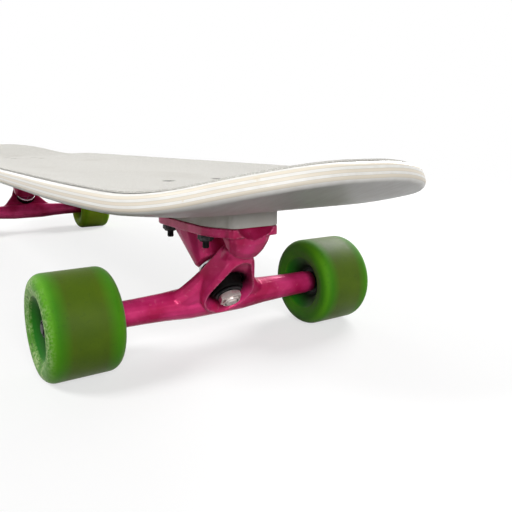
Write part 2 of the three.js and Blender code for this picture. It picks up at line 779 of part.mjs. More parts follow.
// Both inner races and the spacer between them, clamped as one sleeve by the axle nut.
function sleeveGeometry() {
  const bore = axleRadius + shaftGap;
  const half = (bearingEnd - bearingStart) / 2;
  const spacerHalf = half - bearingWidth;
  const profile = [
    [bore, -half], [raceRadius, -half], [raceRadius, -spacerHalf], [spacerRadius, -spacerHalf],
    [spacerRadius, spacerHalf], [raceRadius, spacerHalf], [raceRadius, half], [bore, half],
  ];
  return ringTurn(profile, innerTurn);
}

// ---- Assembly ---------------------------------------------------------------------------------

function addWheelEnd(truck, prefix, side, urethane) {
  const bore = axleRadius + shaftGap;
  const place = (name, geometry, x, material) => {
    addPiece(truck, `${prefix}_${name}`, ontoAxle(geometry, side * x), material);
  };
  const inner = hangerWidth / 2 + faceGap;
  const outer = bearingEnd + faceGap;
  place('wheel', wheelGeometry(), wheelCentre, urethane);
  place('inner_bearing', bearingGeometry(), bearingStart + bearingWidth / 2, shieldBlack);
  place('outer_bearing', bearingGeometry(), bearingEnd - bearingWidth / 2, shieldBlack);
  place('bearing_sleeve', sleeveGeometry(), wheelCentre, brightSteel);
  const half = washerThickness / 2;
  const washer = () => washerRing(bore, speedWasherRadius, -half, half, innerTurn);
  place('inner_washer', washer(), inner + half, brightSteel);
  place('outer_washer', washer(), outer + half, brightSteel);
  const nutStart = outer + washerThickness + faceGap;
  const nut = hexNut(axleNutAcross, axleNutHeight, bore, coarseTurn / 2).rotateX(-Math.PI / 2);
  nut.translate(0, side > 0 ? nutStart : -nutStart - axleNutHeight, 0);
  addPiece(truck, `${prefix}_axle_nut`, nut.rotateZ(-Math.PI / 2), zincSteel);
}

function addTruck(prefix, axleSide, urethane) {
  const truck = new THREE.Group();
  truck.position.set(0, axleSide * axleSpacing / 2, axleHeight);
  if (axleSide > 0) truck.rotation.z = Math.PI;
  board.add(truck);

  const steering = new THREE.Group();
  steering.rotation.x = Math.PI - steerAngle;
  truck.add(steering);

  addPiece(truck, `${prefix}_baseplate`, baseplateGeometry(), pinkPaint);
  const riser = carve([plateSlab(plateTop + seatGap, plateTop + seatGap + riserThickness)],
    truckBoltRods(plateTop - overrun, deckUnderside + overrun));
  addPiece(truck, `${prefix}_riser_pad`, riser, whiteRubber);

  const boardsideStart = -hangerBack - faceGap - boardsideBushingHeight;
  const cupStart = boardsideStart - faceGap - stackWasherThickness;
  const roadsideStart = seatFloor + faceGap;
  const coneWasherStart = roadsideStart + roadsideBushingHeight + faceGap;
  const nutStart = coneWasherStart + stackWasherThickness + faceGap;
  addPiece(steering, `${prefix}_pivot_cup`, pivotCupGeometry(), blackUrethane);
  addPiece(steering, `${prefix}_kingpin`, kingpinGeometry(), zincSteel);
  const cupWasher = stackWasher(cupWasherRadius, cupStart, cupWasherDepth);
  const boardside = bushingGeometry(bushingRadius, bushingRadius, boardsideStart, boardsideBushingHeight);
  const roadside = bushingGeometry(bushingRadius, coneBushingTipRadius, roadsideStart, roadsideBushingHeight);
  const coneWasher = stackWasher(coneWasherRadius, coneWasherStart, stackWasherThickness);
  addPiece(steering, `${prefix}_cup_washer`, cupWasher, zincSteel);
  addPiece(steering, `${prefix}_boardside_bushing`, boardside, blackUrethane);
  addPiece(steering, `${prefix}_roadside_bushing`, roadside, blackUrethane);
  addPiece(steering, `${prefix}_cone_washer`, coneWasher, blackSteel);
  addPiece(steering, `${prefix}_kingpin_nut`, stackNut(nutStart), zincSteel);
  addPiece(steering, `${prefix}_hanger`, hangerGeometry(), pinkPaint);
  const axle = rod(axleRadius, axleLength, innerTurn).rotateZ(Math.PI / 2);
  addPiece(truck, `${prefix}_axle`, axle, zincSteel);

  for (const side of [-1, 1]) {
    const onRight = side * axleSide > 0;
    addWheelEnd(truck, `${prefix}_${onRight ? 'right' : 'left'}`, side, urethane);
  }
}

function addDeckBolts(prefix, axleSide) {
  const headTop = axleHeight + deckTop + gripThickness;
  const nutTop = axleHeight + plateUnderside - seatGap;
  const tail = nutTop - lockNutHeight - boltTail;
  for (const { x, y, outboard, right } of boltPlaces(axleSide)) {
    const profile = [
      [0, tail], [boltRadius - boltTip, tail], [boltRadius, tail + boltTip],
      [boltRadius, headTop - boltHeadDepth], [boltHeadRadius, headTop - boltHeadEdge],
      [boltHeadRadius, headTop], [0, headTop],
    ];
    const shank = new THREE.LatheGeometry(profile.map(([r, z]) => new THREE.Vector2(r, z)), boltTurn);
    shank.rotateX(Math.PI / 2);
    const nut = hexNut(lockNutAcross, lockNutHeight, 0, boltTurn).translate(0, 0, nutTop - lockNutHeight);
    const bolt = carve([shank, nut]).translate(x, y, 0);
    const row = outboard > 0 ? 'end' : 'middle';
    addPiece(board, `${prefix}_${row}_${right > 0 ? 'left' : 'right'}_bolt`, bolt, blackSteel);
  }
}

addDeck();
for (const [prefix, axleSide, urethane] of [['front', -1, greenUrethane], ['rear', 1, limeUrethane]]) {
  addTruck(prefix, axleSide, urethane);
  addDeckBolts(prefix, axleSide);
}

export default board;
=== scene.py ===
import json
import math

import bmesh
import bpy
from mathutils import Matrix, Vector


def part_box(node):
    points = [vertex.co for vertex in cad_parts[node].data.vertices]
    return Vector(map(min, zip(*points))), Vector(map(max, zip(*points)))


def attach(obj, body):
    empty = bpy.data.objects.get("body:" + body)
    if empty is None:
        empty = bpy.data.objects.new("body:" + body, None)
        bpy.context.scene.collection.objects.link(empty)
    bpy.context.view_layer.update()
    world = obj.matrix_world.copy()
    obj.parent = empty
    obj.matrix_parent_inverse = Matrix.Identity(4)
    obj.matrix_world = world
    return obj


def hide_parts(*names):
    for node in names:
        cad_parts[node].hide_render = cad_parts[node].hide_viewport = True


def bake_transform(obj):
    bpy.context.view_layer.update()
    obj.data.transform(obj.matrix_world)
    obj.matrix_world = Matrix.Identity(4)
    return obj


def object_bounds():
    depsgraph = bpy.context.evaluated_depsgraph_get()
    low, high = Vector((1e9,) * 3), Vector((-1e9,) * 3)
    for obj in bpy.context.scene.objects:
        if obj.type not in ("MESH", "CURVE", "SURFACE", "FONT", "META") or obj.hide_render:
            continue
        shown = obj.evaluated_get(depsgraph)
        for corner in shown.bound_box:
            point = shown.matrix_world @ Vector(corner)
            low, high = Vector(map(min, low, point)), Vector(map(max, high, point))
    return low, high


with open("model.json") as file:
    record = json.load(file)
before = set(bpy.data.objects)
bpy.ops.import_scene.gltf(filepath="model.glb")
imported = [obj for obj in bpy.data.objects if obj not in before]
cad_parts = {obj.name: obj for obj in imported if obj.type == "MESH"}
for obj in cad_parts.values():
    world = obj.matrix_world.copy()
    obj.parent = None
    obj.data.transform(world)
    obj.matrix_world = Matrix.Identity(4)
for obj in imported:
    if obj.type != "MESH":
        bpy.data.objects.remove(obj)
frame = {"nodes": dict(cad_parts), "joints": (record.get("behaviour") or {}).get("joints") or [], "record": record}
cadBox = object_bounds()

mm = 0.001
record = frame["record"]
nodeBody = {node: body for body, nodes in record["behaviour"]["bodies"].items() for node in nodes}
print("frame loaded:", len(nodeBody), "nodes")


# places, all read from the frame

def nodePoints(node):
    return [vertex.co for vertex in frame["nodes"][node].data.vertices]


def boxIn(place, node):
    # lowest and highest corner of a node in a turned frame, in millimetres
    back = place.inverted()
    points = [back @ point / mm for point in nodePoints(node)]
    low = Vector([min(point[i] for point in points) for i in range(3)])
    high = Vector([max(point[i] for point in points) for i in range(3)])
    return low, high


def truckPlace(end):
    low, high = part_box(end + "_axle")
    turn = Matrix.Rotation(math.pi if end == "rear" else 0, 4, "Z")
    return Matrix.Translation((low + high) / 2) @ turn


def steerPlace(end):
    # y rises along the steering axis from axle to pivot, z runs down the kingpin
    lean = next(joint for joint in frame["joints"] if joint["name"] == end + "_lean")
    return truckPlace(end) @ Matrix.Rotation(math.pi - math.asin(lean["axis"][2]), 4, "X")


def wheelPlace(end, hand):
    # z points outboard along the axle
    low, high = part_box(end + "_" + hand + "_wheel")
    centre = (low + high) / 2
    turn = Matrix.Rotation(math.copysign(math.pi / 2, centre.x), 4, "Y")
    return Matrix.Translation(centre) @ turn


# material tools

def srgb(red, green, blue):
    def linear(value):
        value /= 255
        return value / 12.92 if value <= 0.04045 else ((value + 0.055) / 1.055) ** 2.4
    return (linear(red), linear(green), linear(blue), 1)


def addNode(tree, kind, settings=None, **inputs):
    made = tree.nodes.new(kind)
    for key, value in (settings or {}).items():
        setattr(made, key, value)
    for key, value in inputs.items():
        socket = made.inputs[key.replace("_", " ")]
        if isinstance(value, bpy.types.NodeSocket):
            tree.links.new(value, socket)
        else:
            socket.default_value = value
    return made


def feed(tree, made, values):
    # links a socket, or sets a plain value, at each numbered input
    for index, value in values.items():
        if isinstance(value, bpy.types.NodeSocket):
            tree.links.new(value, made.inputs[index])
        else:
            made.inputs[index].default_value = value


def blendColours(tree, factor, first, second):
    made = tree.nodes.new("ShaderNodeMix")
    made.data_type = "RGBA"
    feed(tree, made, {0: factor, 6: first, 7: second})
    return made.outputs[2]


def mapRange(tree, value, low, high, toLow=0.0, toHigh=1.0):
    made = addNode(tree, "ShaderNodeMapRange", Value=value, From_Min=low, From_Max=high,
                   To_Min=toLow, To_Max=toHigh)
    return made.outputs[0]


def combine(tree, operation, first, second=0.0):
    made = addNode(tree, "ShaderNodeMath", {"operation": operation})
    feed(tree, made, {0: first, 1: second})
    return made.outputs[0]


def multiply(tree, first, *others):
    for other in others:
        first = combine(tree, "MULTIPLY", first, other)
    return first


def readAttribute(tree, name):
    return addNode(tree, "ShaderNodeAttribute", {"attribute_name": name}).outputs["Fac"]


def spread(tree, value, toLow=0.0, toHigh=1.0):
    # the middle of a noise value's reach, where most of it lies
    return mapRange(tree, value, 0.3, 0.7, toLow, toHigh)


def noise(tree, vector, scale, detail=3.0, stretch=None):
    if stretch:
        vector = addNode(tree, "ShaderNodeMapping", Vector=vector, Scale=stretch).outputs[0]
    made = addNode(tree, "ShaderNodeTexNoise", Vector=vector, Scale=scale, Detail=detail)
    return made.outputs[0]


def startMaterial(name, look):
    material = bpy.data.materials.new(name)
    material.use_nodes = True
    tree = material.node_tree
    shader = tree.nodes["Principled BSDF"]
    shader.inputs["Metallic"].default_value = look.get("metallic", 0.0)
    shader.inputs["Coat Weight"].default_value = look.get("coat", 0.0)
    shader.inputs["Coat Roughness"].default_value = look.get("coatRoughness", 0.2)
    shader.inputs["Specular IOR Level"].default_value = look.get("specular", 0.5)
    shader.inputs["Sheen Weight"].default_value = look.get("bloom", 0.0)
    shader.inputs["Sheen Roughness"].default_value = look.get("bloomSpread", 0.5)
    shader.inputs["Sheen Tint"].default_value = look.get("bloomTint", (1, 1, 1, 1))
    coords = tree.nodes.new("ShaderNodeTexCoord").outputs["Object"]
    return material, tree, shader, coords


def closeMaterial(tree, shader, colour, roughness, height, look):
    tree.links.new(colour, shader.inputs["Base Color"])
    tree.links.new(roughness, shader.inputs["Roughness"])
    bump = addNode(tree, "ShaderNodeBump", Height=height, Strength=look["bump"],
                   Distance=look["bumpDepth"])
    tree.links.new(bump.outputs[0], shader.inputs["Normal"])


def surface(name, look):
    # mottled base, scratches, worn edges, dust and painted shade in hollows, painted shade in the hanger's dish
    # and a fine grain
    material, tree, shader, coords = startMaterial(name, look)
    mottle = mapRange(tree, noise(tree, coords, look["mottleScale"]), *look["mottleEdge"])
    colour = blendColours(tree, mottle, look["colour"], look["shade"])
    scratch = noise(tree, coords, look["scratchScale"], 4, look["scratchStretch"])
    scratch = mapRange(tree, scratch, *look["scratchEdge"])
    colour = blendColours(tree, multiply(tree, scratch, look["scratches"]), colour, look["worn"])
    edge = addNode(tree, "ShaderNodeNewGeometry").outputs["Pointiness"]
    chips = mapRange(tree, noise(tree, coords, look["chipScale"], 5), *look["chipEdge"])
    wear = mapRange(tree, edge, look["wearStart"], look["wearEnd"], 0, look["wear"])
    colour = blendColours(tree, multiply(tree, wear, chips), colour, look["worn"])
    # dust and painted shade: hollows, where pointiness is low, are darkened
    shadedHollow = mapRange(tree, edge, *look["hollowEdge"], 0, look["dust"])
    colour = blendColours(tree, shadedHollow, colour, look["dirt"])
    # painted shade: near black in the hanger's dish
    colour = blendColours(tree, readAttribute(tree, "soot"), colour, look["soot"])
    grain = noise(tree, coords, look["grainScale"], 2)
    rough = spread(tree, grain, -look["roughSpread"], look["roughSpread"])
    scratched = look["roughness"] + look["scratchRough"]
    rough = combine(tree, "ADD", rough, mapRange(tree, scratch, 0, 1, look["roughness"], scratched))
    height = combine(tree, "SUBTRACT", grain, multiply(tree, scratch, look["scratchDepth"]))
    closeMaterial(tree, shader, colour, rough, height, look)
    return material


plain = dict(
    # the hollow colour and its share stand for dust and painted shade
    mottleScale=45.0, mottleEdge=(0.35, 0.65), dirt=srgb(40, 34, 30), soot=srgb(8, 3, 4),
    # the near-black colour above is painted shade for the hanger's dish
    scratchScale=260.0, scratchStretch=(1.0, 0.12, 1.0), scratchEdge=(0.62, 0.7), scratches=0.15,
    scratchRough=0.12, scratchDepth=0.6, chipScale=420.0, chipEdge=(0.4, 0.62),
    wear=0.4, wearStart=0.52, wearEnd=0.58, dust=0.3, hollowEdge=(0.485, 0.44),
    grainScale=1500.0, roughSpread=0.05, bump=0.15, bumpDepth=0.0004,
)

castPaint = surface("castPaint", {
    **plain, "colour": srgb(216, 56, 122), "shade": srgb(176, 20, 78), "worn": srgb(240, 150, 182),
    "roughness": 0.36, "metallic": 0.22, "specular": 0.14, "coat": 0.12, "coatRoughness": 0.12,
    "grainScale": 900.0, "bump": 0.25, "bumpDepth": 0.0005,
    # the deep crimson hollow colour is painted shade in the creases, with some dust
    "wear": 0.8, "wearStart": 0.508, "dirt": srgb(84, 6, 28), "dust": 0.75,
})
zincSteel = surface("zincSteel", {
    **plain, "colour": srgb(222, 212, 208), "shade": srgb(184, 172, 168), "worn": srgb(238, 234, 232),
    "roughness": 0.34, "metallic": 1.0, "scratches": 0.45,
})
brightSteel = surface("brightSteel", {
    **plain, "colour": srgb(205, 205, 206), "shade": srgb(178, 180, 184), "worn": srgb(232, 232, 230),
    "roughness": 0.2, "metallic": 1.0, "scratches": 0.3, "dust": 0.2,
})
blackOxide = surface("blackOxide", {
    **plain, "colour": srgb(26, 25, 27), "shade": srgb(17, 16, 18), "worn": srgb(104, 102, 104),
    "roughness": 0.5, "metallic": 0.25, "specular": 0.2, "wear": 0.45,
})
blackUrethane = surface("blackUrethane", {
    **plain, "colour": srgb(9, 6, 6), "shade": srgb(5, 3, 3), "worn": srgb(40, 36, 36),
    "roughness": 0.6, "specular": 0.06, "bump": 0.2, "wear": 0.2, "dust": 0.1,
})
sealRubber = surface("sealRubber", {
    **plain, "colour": srgb(26, 29, 25), "shade": srgb(18, 20, 17), "worn": srgb(72, 76, 68),
    "roughness": 0.55, "wear": 0.3,
})
lockNylon = surface("lockNylon", {
    **plain, "colour": srgb(46, 44, 48), "shade": srgb(34, 33, 36), "worn": srgb(96, 94, 98),
    "roughness": 0.5, "wear": 0.3,
})
padRubber = surface("padRubber", {
    **plain, "colour": srgb(232, 230, 224), "shade": srgb(222, 219, 212), "worn": srgb(240, 238, 234),
    "roughness": 0.6, "dirt": srgb(168, 160, 150), "dust": 0.35, "scratches": 0.1, "bump": 0.3,
})


def wheelSurface(name, look):
    # side walls, hub and tread told apart by the radius: tread and faces age in their own way, the hub darkens
    # inwards with painted shade and the lip has a painted highlight
    material, tree, shader, coords = startMaterial(name, look)
    radius = readAttribute(tree, "reach")
    side = spread(tree, noise(tree, coords, look["mottleScale"], 2))
    side = blendColours(tree, side, look["side"], look["sideShade"])
    # painted shade: darker green into the hub and near black at the throat
    side = blendColours(tree, mapRange(tree, radius, *look["hubEdge"]), side, look["hub"])
    side = blendColours(tree, mapRange(tree, radius, *look["throatEdge"]), side, look["throat"])
    ridden = spread(tree, noise(tree, coords, look["treadScale"], 3))
    ridden = blendColours(tree, ridden, look["tread"], look["treadShade"])
    contact = multiply(tree, mapRange(tree, radius, *look["treadEdge"]),
                       mapRange(tree, readAttribute(tree, "across"), *look["treadReach"]))
    colour = blendColours(tree, contact, side, ridden)
    # painted highlight: a lighter band around the lip of the wheel
    rim = multiply(tree, mapRange(tree, radius, *look["rimInner"]),
                   mapRange(tree, radius, *look["rimOuter"]), look["rimLight"])
    colour = blendColours(tree, rim, colour, look["rim"])
    specks = mapRange(tree, noise(tree, coords, look["speckScale"], 3), *look["speckEdge"])
    patches = mapRange(tree, noise(tree, coords, look["patchScale"], 3), *look["patchEdge"])
    face = multiply(tree, mapRange(tree, radius, *look["faceInner"]),
                    mapRange(tree, radius, *look["faceOuter"]), readAttribute(tree, "outboard"))
    scuffs = multiply(tree, specks, patches, face)
    colour = blendColours(tree, multiply(tree, scuffs, look["scuffs"]), colour, look["scuff"])
    pits = mapRange(tree, noise(tree, coords, look["pitScale"], 4), *look["pitEdge"])
    pits = multiply(tree, pits, mapRange(tree, face, 0, 1, look["inboardPits"], 1))
    colour = blendColours(tree, multiply(tree, pits, look["pits"]), colour, look["grime"])
    grain = noise(tree, coords, look["grainScale"], 3)
    rough = combine(tree, "ADD", spread(tree, grain, -look["roughSpread"], look["roughSpread"]),
                    mapRange(tree, contact, 0, 1, look["roughness"], look["treadRoughness"]))
    relief = combine(tree, "SUBTRACT", multiply(tree, scuffs, look["scuffHeight"]), pits)
    height = combine(tree, "ADD", multiply(tree, grain, look["grainHeight"]), relief)
    closeMaterial(tree, shader, colour, rough, height, look)
    return material


# hub, throat, tread, rim and face are shares of the radius, and treadReach of the half width
wheelLook = dict(
    hubEdge=(0.62, 0.56), throatEdge=(0.54, 0.38), treadEdge=(0.95, 0.995), treadReach=(0.74, 0.42),
    rimInner=(0.86, 0.93), rimOuter=(0.999, 0.96), faceInner=(0.56, 0.62), faceOuter=(0.98, 0.84),
    mottleScale=34, treadScale=40, speckScale=620.0, speckEdge=(0.4, 0.6),
    patchScale=90, patchEdge=(0.34, 0.56), pitScale=480, pitEdge=(0.6, 0.66), inboardPits=0.3,
    grainScale=1300, grainHeight=0.5, scuffHeight=0.8, roughSpread=0.06,
    bump=0.25, bumpDepth=0.0005, specular=0.2, bloom=0.22, bloomSpread=0.45,
)
greenUrethane = wheelSurface("greenUrethane", {
    # the hub and throat colours are painted shade, deepening into the hub
    **wheelLook, "side": srgb(68, 132, 4), "sideShade": srgb(52, 116, 1), "hub": srgb(16, 96, 0),
    "throat": srgb(2, 26, 1), "tread": srgb(76, 100, 2), "treadShade": srgb(62, 86, 1),
    # the rim colour is a painted highlight on the lip
    "bloomTint": srgb(236, 246, 216), "rim": srgb(104, 174, 20), "rimLight": 0.35,
    "scuff": srgb(172, 198, 134), "scuffs": 0.8, "grime": srgb(38, 66, 14), "pits": 0.6,
    "roughness": 0.74, "treadRoughness": 0.56,
})
limeUrethane = wheelSurface("limeUrethane", {
    # the hub and throat colours are painted shade, deepening into the hub
    **wheelLook, "side": srgb(168, 222, 26), "sideShade": srgb(156, 212, 16), "hub": srgb(140, 204, 12),
    "throat": srgb(84, 132, 6), "tread": srgb(192, 230, 52), "treadShade": srgb(182, 222, 36),
    # the rim colour is a painted highlight on the lip
    "rim": srgb(196, 236, 60), "rimLight": 0.5,
    "scuff": srgb(226, 240, 170), "scuffs": 0.5, "grime": srgb(96, 120, 40), "pits": 0.2,
    "roughness": 0.6, "treadRoughness": 0.45,
})


def deckSurface(name, look):
    # white lacquer over long grain, with the plies and their glue lines showing on the rail
    material, tree, shader, coords = startMaterial(name, look)
    depth = readAttribute(tree, "plyDepth")
    rail = readAttribute(tree, "rail")
    grain = noise(tree, coords, look["grainScale"], 3, look["grainStretch"])
    colour = blendColours(tree, spread(tree, grain), look["colour"], look["shade"])
    crossPly = combine(tree, "FRACT", multiply(tree, depth, look["plies"] / 2))
    crossPly = multiply(tree, mapRange(tree, crossPly, *look["plyEdge"]), rail)
    colour = blendColours(tree, crossPly, colour, look["crossPly"])
    glue = combine(tree, "FRACT", multiply(tree, depth, look["plies"]))
    glue = combine(tree, "ABSOLUTE", combine(tree, "SUBTRACT", glue, 0.5))
    glue = multiply(tree, mapRange(tree, glue, *look["glueEdge"]), rail)
    colour = blendColours(tree, multiply(tree, glue, look["glueShare"]), colour, look["glue"])
    scrape = noise(tree, coords, look["scrapeScale"], 6)
    scrape = multiply(tree, mapRange(tree, scrape, *look["scrapeEdge"]), rail)
    colour = blendColours(tree, multiply(tree, scrape, look["scrapes"]), colour, look["bareWood"])
    low, high = look["roughSpread"]
    rough = spread(tree, grain, look["roughness"] + low, look["roughness"] + high)
    height = combine(tree, "SUBTRACT", multiply(tree, grain, look["grainHeight"]),
                     combine(tree, "ADD", glue, scrape))
    closeMaterial(tree, shader, colour, rough, height, look)
    return material


whiteLacquer = deckSurface("whiteLacquer", {
    "colour": srgb(232, 231, 227), "shade": srgb(224, 222, 217), "bareWood": srgb(214, 200, 174),
    "plies": 7.0, "plyEdge": (0.47, 0.53), "crossPly": srgb(222, 213, 197),
    "glueEdge": (0.4, 0.49), "glueShare": 0.55, "glue": srgb(176, 162, 140),
    "scrapeScale": 130, "scrapeEdge": (0.68, 0.73), "scrapes": 0.5,
    "grainScale": 240, "grainStretch": (1.0, 0.03, 1.0), "grainHeight": 0.4,
    "roughness": 0.42, "roughSpread": (-0.04, 0.06), "specular": 0.25, "coat": 0.06,
    "coatRoughness": 0.18, "bump": 0.12, "bumpDepth": 0.0003,
})


def gritSurface(name, look):
    # coarse clear grit with crushed tips and scuffed lanes
    material, tree, shader, coords = startMaterial(name, look)
    grit = addNode(tree, "ShaderNodeTexVoronoi", Vector=coords, Scale=look["gritScale"])
    tips = mapRange(tree, grit.outputs["Distance"], 0.0, look["tipReach"], 1.0, 0.0)
    colour = blendColours(tree, tips, look["gap"], look["tip"])
    lanes = noise(tree, coords, look["laneScale"], 4, look["laneStretch"])
    lanes = multiply(tree, mapRange(tree, lanes, *look["laneEdge"]), look["lanes"])
    colour = blendColours(tree, lanes, colour, look["scuffed"])
    rough = mapRange(tree, tips, 0, 1, look["roughness"], look["tipRoughness"])
    closeMaterial(tree, shader, colour, rough, tips, look)
    return material


clearGrit = gritSurface("clearGrit", {
    "gap": srgb(184, 182, 176), "tip": srgb(226, 225, 221), "gritScale": 1100.0, "tipReach": 0.55,
    "scuffed": srgb(176, 172, 165), "laneScale": 14, "laneStretch": (1.0, 0.6, 1.0),
    "laneEdge": (0.52, 0.68), "lanes": 0.35,
    "roughness": 0.95, "tipRoughness": 0.8, "bump": 0.7, "bumpDepth": 0.0006,
})
print("materials made:", len(bpy.data.materials))


# shape tools, with shapes worked in millimetres and placed in metres at the end

def pieceName(node):
    first, *rest = node.split("_")
    return first + "".join(word.capitalize() for word in rest)


def turnedShape(profile, steps=64, closed=True):
    # a profile of (radius, height) spun about Z
    shape = bmesh.new()
    points = [shape.verts.new((radius, 0, height)) for radius, height in profile]
    lines = [shape.edges.new(pair) for pair in zip(points, points[1:])]
    if closed:
        lines.append(shape.edges.new((points[-1], points[0])))
    bmesh.ops.spin(shape, geom=points + lines, cent=(0, 0, 0), axis=(0, 0, 1), angle=2 * math.pi,
                   steps=steps, use_merge=True)
    bmesh.ops.remove_doubles(shape, verts=shape.verts, dist=1e-4)
    bmesh.ops.recalc_face_normals(shape, faces=shape.faces)
    return shape


def roundEdges(shape, width, segments=3, minAngle=30):
    sharp = [edge for edge in shape.edges
             if len(edge.link_faces) == 2 and edge.calc_face_angle(0) > math.radians(minAngle)]
    bmesh.ops.bevel(shape, geom=sharp, offset=width, offset_type="OFFSET", affect="EDGES",
                    segments=segments, profile=0.5, material=-1, clamp_overlap=True)
    bmesh.ops.remove_doubles(shape, verts=shape.verts, dist=1e-3)


def arc(centreRadius, centreHeight, radius, start, end, steps):
    points = []
    for i in range(steps + 1):
        angle = math.radians(start + (end - start) * i / steps)
        points.append((centreRadius + radius * math.cos(angle), centreHeight + radius * math.sin(angle)))
    return points


def threadProfile(radius, start, end, pitch, depth):
    # crests and roots of a thread, as rings
    count = max(1, int((end - start) / pitch))
    points = []
    for i in range(count):
        height = start + (end - start) * i / count
        points += [(radius - depth, height), (radius, height + (end - start) / count / 2)]
    return points + [(radius - depth, end)]


def hexShape(across, low, high):
    shape = bmesh.new()
    corner = across / math.sqrt(3)
    bmesh.ops.create_cone(shape, cap_ends=True, segments=6, radius1=corner, radius2=corner, depth=high - low)
    bmesh.ops.translate(shape, verts=shape.verts, vec=(0, 0, (low + high) / 2))
    return shape


def looseObject(shape, name):
    mesh = bpy.data.meshes.new(name)
    shape.to_mesh(mesh)
    shape.free()
    made = bpy.data.objects.new(name, mesh)
    bpy.context.scene.collection.objects.link(made)
    return made


def settle(piece):
    # puts what the modifiers make into the mesh
    graph = bpy.context.evaluated_depsgraph_get()
    mesh = bpy.data.meshes.new_from_object(piece.evaluated_get(graph))
    piece.modifiers.clear()
    piece.data = mesh


def combineShapes(shape, others, operation):
    # cuts or intersects one shape with others
    body = looseObject(shape, "workBody")
    tools = [looseObject(other, "workTool") for other in others]
    for tool in tools:
        step = body.modifiers.new("work", "BOOLEAN")
        step.operation = operation
        step.solver = "EXACT"
        step.object = tool
    settle(body)
    result = bmesh.new()
    result.from_mesh(body.data)
    for used in [body, *tools]:
        bpy.data.objects.remove(used)
    bmesh.ops.remove_doubles(result, verts=result.verts, dist=1e-4)
    return result


def addShape(shape, other, material=None):
    # copies other into shape as a shell of its own
    if material is not None:
        for face in other.faces:
            face.material_index = material
    mesh = bpy.data.meshes.new("workShell")
    other.to_mesh(mesh)
    other.free()
    shape.from_mesh(mesh)
    bpy.data.meshes.remove(mesh)


def makePiece(shape, node, materials, place, creaseAngle=38, name=None, rides=True):
    piece = looseObject(shape, name or pieceName(node))
    piece.data.transform(place @ Matrix.Scale(mm, 4))
    for material in materials:
        piece.data.materials.append(material)
    piece.data.shade_smooth()
    piece.data.set_sharp_from_angle(angle=math.radians(creaseAngle))
    if rides:
        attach(piece, nodeBody[node])
    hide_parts(node)
    return piece


def turnedPiece(node, profile, place, material, roundness, steps):
    shape = turnedShape(profile, steps)
    roundEdges(shape, roundness)
    makePiece(shape, node, [material], place)


def bothFaces(low, high, half):
    # a profile from half of it, as (radius, depth) below either face
    return ([(radius, low + depth) for radius, depth in half]
            + [(radius, high - depth) for radius, depth in half[::-1]])


def held(value):
    # kept between 0 and 1
    return max(0.0, min(1.0, value))


def storeAttribute(piece, name, valueAt):
    attribute = piece.data.attributes.new(name, "FLOAT", "POINT")
    attribute.data.foreach_set("value", [valueAt(vertex.co) for vertex in piece.data.vertices])


# cast pieces keep the frame's own solids, with their edges and facets cast smooth

def castPiece(node, material, look):
    shape = bmesh.new()
    shape.from_mesh(frame["nodes"][node].data)
    bmesh.ops.remove_doubles(shape, verts=shape.verts, dist=1e-6)
    bmesh.ops.scale(shape, vec=(1 / mm, 1 / mm, 1 / mm), verts=shape.verts)
    piece = makePiece(shape, node, [material], Matrix(), creaseAngle=180)
    skin = piece.modifiers.new("castSkin", "REMESH")
    skin.mode = "VOXEL"
    skin.voxel_size = look["voxel"] * mm
    skin.use_smooth_shade = True
    soften = piece.modifiers.new("castEdges", "SMOOTH")
    soften.factor = look["soften"]
    soften.iterations = look["passes"]
    settle(piece)
    piece.data.materials.clear()
    piece.data.materials.append(material)
    piece.data.polygons.foreach_set("material_index", [0] * len(piece.data.polygons))
    piece.data.shade_smooth()
    return piece


# the dish numbers set how far the painted shade in the hanger's dish reaches and how it fades
hanger = dict(
    voxel=0.62, soften=0.5, passes=9, sootReach=21.0, sootFade=5.0, sootMargin=2.0, sootDepth=1.3,
)
baseplate = dict(voxel=0.62, soften=0.5, passes=6)
riserPad = dict(voxel=0.8, soften=0.5, passes=3)


def shadeHangerDish(piece, end):
    # painted shade, near black on the floor of the dish and fading towards its lip
    steer = steerPlace(end)
    pinLow, pinHigh = boxIn(steer, end + "_kingpin")
    seatLow, seatHigh = boxIn(steer, end + "_roadside_bushing")
    centre = (pinLow.y + pinHigh.y) / 2
    back = steer.inverted()
    floor, brim = seatLow.z, seatHigh.z + hanger["sootMargin"]

    def dishShadeAt(point):
        local = back @ point / mm
        if local.z <= floor - hanger["sootMargin"]:
            return 0.0
        around = math.hypot(local.x, local.y - centre)
        depth = (brim - local.z) / (brim - floor)
        near = (hanger["sootReach"] - around) / hanger["sootFade"]
        return held(depth * hanger["sootDepth"]) * held(near)

    storeAttribute(piece, "soot", dishShadeAt)


for end in ("front", "rear"):
    shadeHangerDish(castPiece(end + "_hanger", castPaint, hanger), end)
    castPiece(end + "_baseplate", castPaint, baseplate)
    castPiece(end + "_riser_pad", padRubber, riserPad)
print("cast pieces made")


# lock nuts: flat, foot, shoulder, lip, mouth and nylon are shares of the width across flats,
# collar is a share of the height and chamfer a slope, and the rest are millimetres

lock = dict(
    flat=0.47, foot=0.46, shoulder=0.45, lip=0.40, mouth=0.35, nylon=0.345, collar=0.24, chamfer=0.58,
    wall=0.5, crimp=0.5, lap=0.02, clear=0.1, collarRound=0.12, nylonGrip=0.02, nylonFoot=0.15,
    nylonTop=0.35, steps=48,
)


